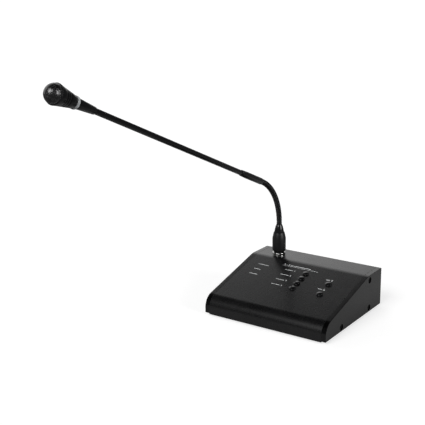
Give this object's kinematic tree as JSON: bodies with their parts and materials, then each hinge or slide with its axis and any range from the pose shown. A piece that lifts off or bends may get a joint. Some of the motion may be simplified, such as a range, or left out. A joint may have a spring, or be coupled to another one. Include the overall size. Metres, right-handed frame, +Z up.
{
  "type": "paging microphone",
  "caption": "Desk paging microphone: black wedge housing with push buttons on a sloping panel, and a plug-in gooseneck with a light ring and domed grille.",
  "frame": {"origin": "on the table plane, under the middle of the housing", "axes": "+X to the right as the user sits, +Y to the rear, +Z up"},
  "size_m": [0.19, 0.4753, 0.3622],
  "materials": {
    "satin_black": "satin black paint on metal",
    "plate_black": "satin black paint on metal plate",
    "screw_black": "blackened steel",
    "rubber_black": "matt black rubber",
    "gloss_black": "glossy black plastic",
    "nickel": "polished nickel plate",
    "steel": "plain steel",
    "brass": "plated brass",
    "board_green": "solder mask on glass-fibre board",
    "ribbon_grey": "grey flat cable",
    "plunger_cream": "natural plastic",
    "neck_black": "satin black finish on steel",
    "plug_black": "black lacquer on metal",
    "light_milky": "milky translucent plastic, unlit",
    "lamp_smoked": "smoked clear plastic, unlit",
    "rim_black": "black paint on metal",
    "grille_black": "black paint on perforated metal"
  },
  "bodies": {
    "base": {"cover": "satin_black", "bottom_plate": "plate_black", "end_plate_left": "plate_black", "end_plate_right": "plate_black", "end_screws": "screw_black", "feet": "rubber_black", "rear_panel": "plate_black", "link_sockets": "gloss_black", "main_board": "board_green", "main_standoffs": "steel", "main_screws": "steel", "board_parts": "gloss_black", "control_board": "board_green", "control_spacers": "steel", "control_screws": "steel", "switch_bodies": "gloss_black", "indicators": "lamp_smoked", "board_headers": "gloss_black", "ribbon_cable": "ribbon_grey", "socket_shell": "nickel", "socket_insert": "gloss_black", "socket_contacts": "brass", "socket_nut": "nickel"},
    "button_1_body": {"button_1": "gloss_black", "plunger_1": "plunger_cream"},
    "button_2_body": {"button_2": "gloss_black", "plunger_2": "plunger_cream"},
    "button_3_body": {"button_3": "gloss_black", "plunger_3": "plunger_cream"},
    "button_4_body": {"button_4": "gloss_black", "plunger_4": "plunger_cream"},
    "button_5_body": {"button_5": "gloss_black", "plunger_5": "plunger_cream"},
    "button_6_body": {"button_6": "gloss_black", "plunger_6": "plunger_cream"},
    "plug": {"plug_shell": "plug_black", "plug_insert": "gloss_black", "plug_pins": "brass", "boot": "rubber_black", "neck_foot": "neck_black"},
    "link_1": {"neck_link_1": "neck_black"},
    "link_2": {"neck_link_2": "neck_black"},
    "link_3": {"neck_link_3": "neck_black"},
    "link_4": {"neck_link_4": "neck_black"},
    "link_5": {"neck_link_5": "neck_black"},
    "link_6": {"neck_link_6": "neck_black"},
    "link_7": {"neck_link_7": "neck_black"},
    "mic": {"neck_top": "neck_black", "sleeve": "neck_black", "tube": "satin_black", "mic_cable": "rubber_black", "neck_cone": "satin_black", "light_ring": "light_milky", "light_board": "board_green", "head_body": "satin_black", "rim_ring": "rim_black", "capsule_holder": "rubber_black", "capsule": "steel", "grille": "grille_black"}
  },
  "joints": [
    {"name": "button_1_press", "type": "slide", "parent": "base", "child": "button_1_body", "axis": [0, 0.2503, -0.9682], "range_m": [0, 0.001], "stiffness_N_per_m": 1200, "springref_m": -0.0008},
    {"name": "button_2_press", "type": "slide", "parent": "base", "child": "button_2_body", "axis": [0, 0.2503, -0.9682], "range_m": [0, 0.001], "stiffness_N_per_m": 1200, "springref_m": -0.0008},
    {"name": "button_3_press", "type": "slide", "parent": "base", "child": "button_3_body", "axis": [0, 0.2503, -0.9682], "range_m": [0, 0.001], "stiffness_N_per_m": 1200, "springref_m": -0.0008},
    {"name": "button_4_press", "type": "slide", "parent": "base", "child": "button_4_body", "axis": [0, 0.2503, -0.9682], "range_m": [0, 0.001], "stiffness_N_per_m": 1200, "springref_m": -0.0008},
    {"name": "button_5_press", "type": "slide", "parent": "base", "child": "button_5_body", "axis": [0, 0.2503, -0.9682], "range_m": [0, 0.001], "stiffness_N_per_m": 1200, "springref_m": -0.0008},
    {"name": "button_6_press", "type": "slide", "parent": "base", "child": "button_6_body", "axis": [0, 0.2503, -0.9682], "range_m": [0, 0.001], "stiffness_N_per_m": 1200, "springref_m": -0.0008},
    {"name": "plug_pull", "type": "slide", "parent": "base", "child": "plug", "axis": [0, 0, 1], "range_m": [0, 0.017]},
    {"name": "neck_side_low", "type": "hinge", "parent": "plug", "child": "link_1", "pos_m": [-0.0607, 0.0605, 0.11017], "axis": [0, 0.9974, 0.0722], "range_deg": [-14, 14]},
    {"name": "neck_bend_1", "type": "hinge", "parent": "link_1", "child": "link_2", "pos_m": [-0.0607, 0.05887, 0.12141], "axis": [1, 0, 0], "range_deg": [-14, 5]},
    {"name": "neck_bend_2", "type": "hinge", "parent": "link_2", "child": "link_3", "pos_m": [-0.0607, 0.05563, 0.13229], "axis": [1, 0, 0], "range_deg": [-14, 5]},
    {"name": "neck_bend_3", "type": "hinge", "parent": "link_3", "child": "link_4", "pos_m": [-0.0607, 0.05087, 0.14259], "axis": [1, 0, 0], "range_deg": [-14, 5]},
    {"name": "neck_bend_4", "type": "hinge", "parent": "link_4", "child": "link_5", "pos_m": [-0.0607, 0.04467, 0.1521], "axis": [1, 0, 0], "range_deg": [-14, 5]},
    {"name": "neck_bend_5", "type": "hinge", "parent": "link_5", "child": "link_6", "pos_m": [-0.0607, 0.03717, 0.16061], "axis": [1, 0, 0], "range_deg": [-14, 5]},
    {"name": "neck_bend_6", "type": "hinge", "parent": "link_6", "child": "link_7", "pos_m": [-0.0607, 0.02852, 0.16796], "axis": [1, 0, 0], "range_deg": [-14, 5]},
    {"name": "neck_side_high", "type": "hinge", "parent": "link_7", "child": "mic", "pos_m": [-0.0607, 0.0189, 0.17399], "axis": [0, 0.4685, 0.8835], "range_deg": [-14, 14]}
  ]
}
